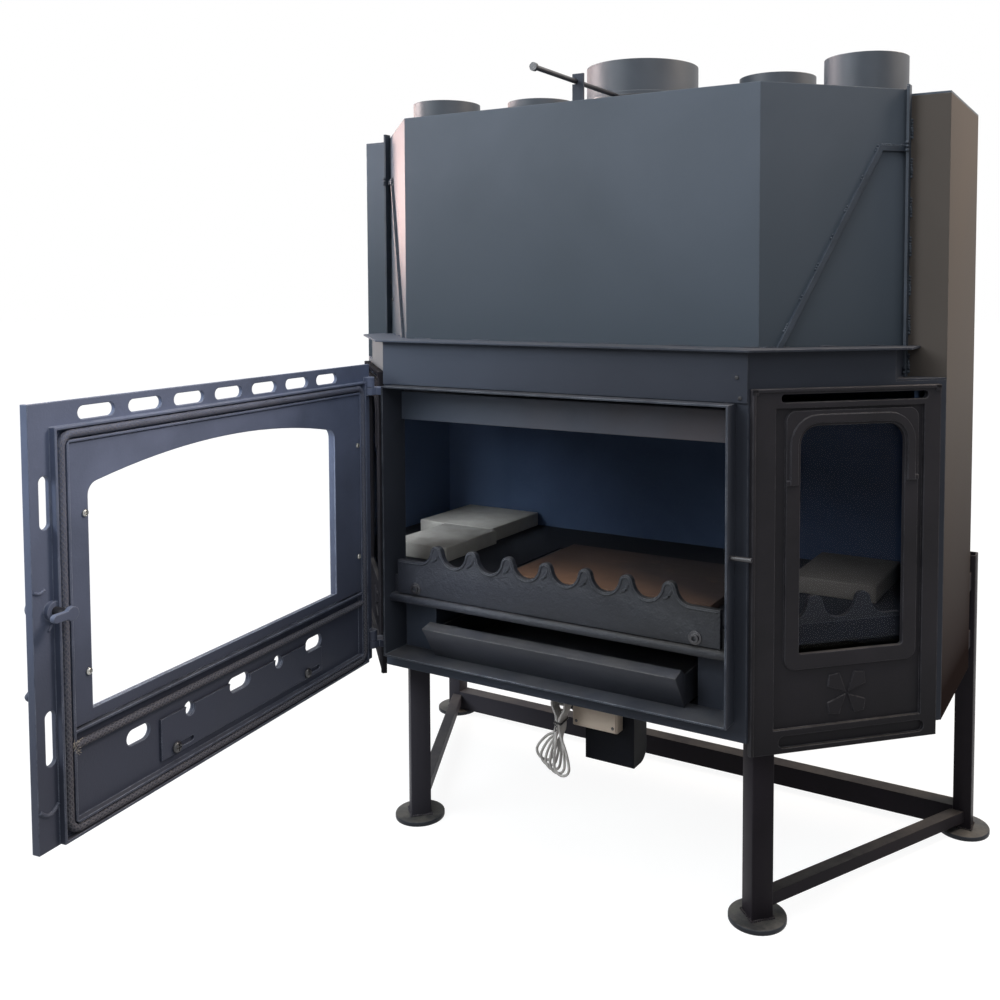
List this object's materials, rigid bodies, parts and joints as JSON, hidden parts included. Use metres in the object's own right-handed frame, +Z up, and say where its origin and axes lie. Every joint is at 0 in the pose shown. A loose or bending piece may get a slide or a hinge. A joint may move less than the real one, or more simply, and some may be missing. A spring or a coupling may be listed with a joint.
{
  "type": "fireplace insert",
  "caption": "Wide fireplace insert with a side-hinged glass door, angled side windows, convection hood with round flue and air outlets, ash drawer and leg frame.",
  "frame": {"origin": "on the floor, under the axis of the flue", "axes": "+X to the right as seen from the front, +Y to the back, +Z up along the flue"},
  "size_m": [1.17, 1.2546, 1.34],
  "materials": {
    "cast_iron": "matt heat-proof paint over cast iron",
    "black_paint": "matt heat-proof paint",
    "bare_steel": "bare turned steel",
    "pane_glass": "clear heat-proof glass",
    "fireclay": "rough fired clay",
    "hearth_board": "pressed fibre board",
    "rope_fibre": "woven glass-fibre rope",
    "black_plastic": "matt",
    "beige_plastic": "matt",
    "lead_sheath": "soft sheath",
    "soft_black": "matt"
  },
  "bodies": {
    "casing": {"inner_lintel": "cast_iron", "chamber_floor": "cast_iron", "chamber_walls": "cast_iron", "chamber_top": "cast_iron", "baffle_plate": "cast_iron", "smoke_pipe": "cast_iron", "grate": "cast_iron", "hearth_apron": "cast_iron", "log_fence": "cast_iron", "side_fences": "cast_iron", "window_frame_left": "cast_iron", "window_frame_right": "cast_iron", "hinge_brackets": "cast_iron", "front_frame": "black_paint", "door_collar": "black_paint", "angled_panel_left": "black_paint", "angled_panel_right": "black_paint", "side_panel_left": "black_paint", "side_panel_right": "black_paint", "back_panel": "black_paint", "bottom_plate": "black_paint", "corner_closures": "black_paint", "shelf_flange": "black_paint", "hood_shell": "black_paint", "top_plate": "black_paint", "hood_bars": "black_paint", "flue_collar": "black_paint", "outlets_left": "black_paint", "outlets_right": "black_paint", "damper_guide": "black_paint", "ash_bay_sides": "black_paint", "front_legs": "black_paint", "rear_legs": "black_paint", "foot_plates": "black_paint", "braces": "black_paint", "latch_keeper": "bare_steel", "blower_motor": "bare_steel", "window_panes": "pane_glass", "hearth_floor": "fireclay", "clay_slabs": "fireclay", "hearth_board": "hearth_board", "blower_housing": "black_plastic", "control_box": "beige_plastic", "lead_hank": "lead_sheath", "blower_lead": "lead_sheath", "lead_glands": "soft_black", "lead_tie": "soft_black"},
    "door": {"door_frame": "cast_iron", "door_glass": "pane_glass", "glass_retainer": "cast_iron", "door_screws": "bare_steel", "door_ropes": "rope_fibre"},
    "latch": {"latch_spindle": "bare_steel", "latch_finger": "cast_iron", "door_handle": "cast_iron"},
    "air_slide": {"air_slide": "cast_iron"},
    "ash_drawer": {"ash_drawer_tray": "black_paint", "ash_drawer_front": "black_paint"},
    "damper": {"damper_gate": "bare_steel"},
    "fan_wheel": {"blower_wheel": "black_plastic"}
  },
  "joints": [
    {"name": "door_hinge", "type": "hinge", "parent": "casing", "child": "door", "pos_m": [-0.328, -0.371, 0.57], "axis": [0, 0, 1], "range_deg": [-28, 82]},
    {"name": "latch_turn", "type": "hinge", "parent": "door", "child": "latch", "pos_m": [-0.23809, -1.01071, 0.588], "axis": [0.9903, 0.1392, 0], "range_deg": [0, 90]},
    {"name": "air_slide_move", "type": "slide", "parent": "door", "child": "air_slide", "axis": [0.1392, -0.9903, 0], "range_m": [0, 0.03]},
    {"name": "drawer_slide", "type": "slide", "parent": "casing", "child": "ash_drawer", "axis": [0, 1, 0], "range_m": [-0.25, 0]},
    {"name": "damper_pull", "type": "slide", "parent": "casing", "child": "damper", "axis": [0, -1, 0], "range_m": [0, 0.12]},
    {"name": "fan_spin", "type": "hinge", "parent": "casing", "child": "fan_wheel", "pos_m": [0.066, -0.231, 0.234], "axis": [0, 1, 0], "continuous": true}
  ]
}
